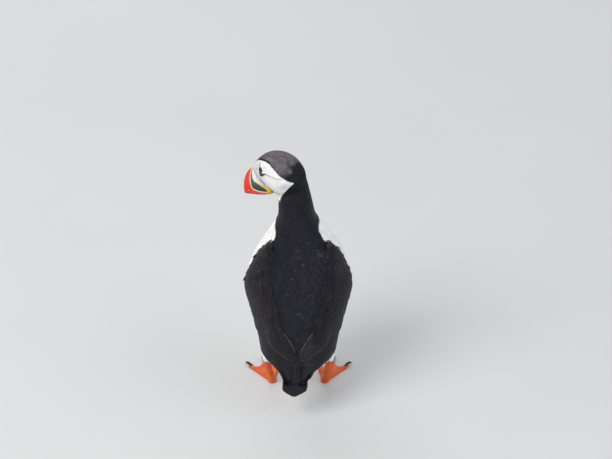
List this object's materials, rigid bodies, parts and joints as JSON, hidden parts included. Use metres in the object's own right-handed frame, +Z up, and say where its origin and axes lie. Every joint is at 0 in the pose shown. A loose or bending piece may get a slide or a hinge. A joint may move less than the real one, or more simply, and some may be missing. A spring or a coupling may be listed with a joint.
{
  "type": "atlantic puffin",
  "caption": "Life-size standing seabird model with black back, white breast, large striped bill and webbed feet, its head turned to its left.",
  "frame": {"origin": "on the floor, under the middle of the whole bird's box", "axes": "+Z up, the bird's body faces -Y and its left side is +X"},
  "size_m": [0.1088, 0.1379, 0.2474],
  "materials": {
    "plumage": "black and white feathers, soft satin",
    "bill": "red, slate and cream horn, satin",
    "rosette": "wrinkled yellow skin",
    "eye": "dark and glossy",
    "horn": "blue-grey horny plate",
    "leg": "orange scaly skin, satin",
    "claw": "black horn, satin"
  },
  "bodies": {
    "root": {"head": "plumage", "neck": "plumage", "trunk": "plumage", "tail": "plumage", "bill_upper": "bill", "bill_lower": "bill", "eye_left": "eye", "eye_right": "eye", "rosette_left": "rosette", "rosette_right": "rosette", "eye_plate_upper_left": "horn", "eye_plate_lower_left": "horn", "eye_plate_upper_right": "horn", "eye_plate_lower_right": "horn", "wing_left": "plumage", "wing_right": "plumage", "thigh_left": "plumage", "thigh_right": "plumage", "shank_left": "leg", "shank_right": "leg", "foot_left": "leg", "foot_right": "leg", "claw_inner_left": "claw", "claw_inner_right": "claw", "claw_middle_left": "claw", "claw_middle_right": "claw", "claw_outer_left": "claw", "claw_outer_right": "claw"}
  },
  "joints": []
}
